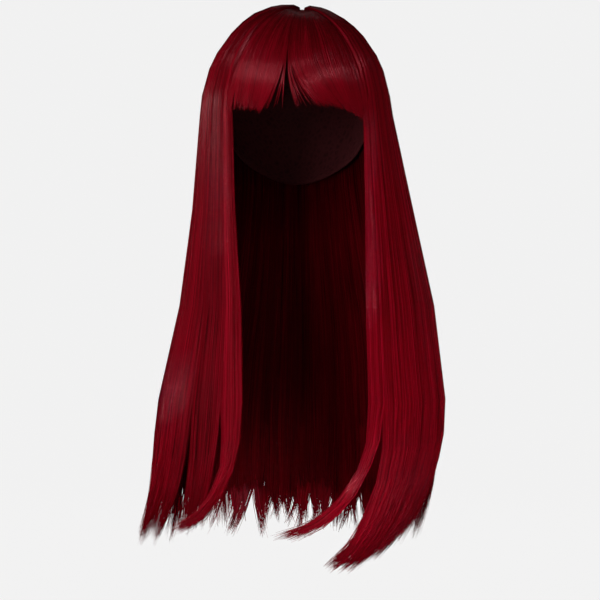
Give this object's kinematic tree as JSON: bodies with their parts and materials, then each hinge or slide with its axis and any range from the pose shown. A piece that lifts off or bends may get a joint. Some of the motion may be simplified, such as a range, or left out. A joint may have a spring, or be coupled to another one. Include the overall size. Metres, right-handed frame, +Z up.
{
  "type": "long straight wig",
  "caption": "Long straight red wig with a wispy parted fringe, sweeping front locks and a hollow cap that fits over a head.",
  "frame": {"origin": "where the crown of the head meets the inside of the cap", "axes": "+Z up, -Y the way the face looks, +X the wearer's left"},
  "size_m": [0.2958, 0.2265, 0.5413],
  "materials": {
    "cap_net": "matt dark net",
    "false_scalp": "matt flesh-toned strip",
    "hair": "glossy dark red synthetic hair"
  },
  "bodies": {
    "root": {"wig_cap": "cap_net", "part_strip": "false_scalp", "fringe": "hair", "side_hair_left": "hair", "side_hair_right": "hair", "back_hair": "hair", "nape_hair": "hair"}
  },
  "joints": []
}
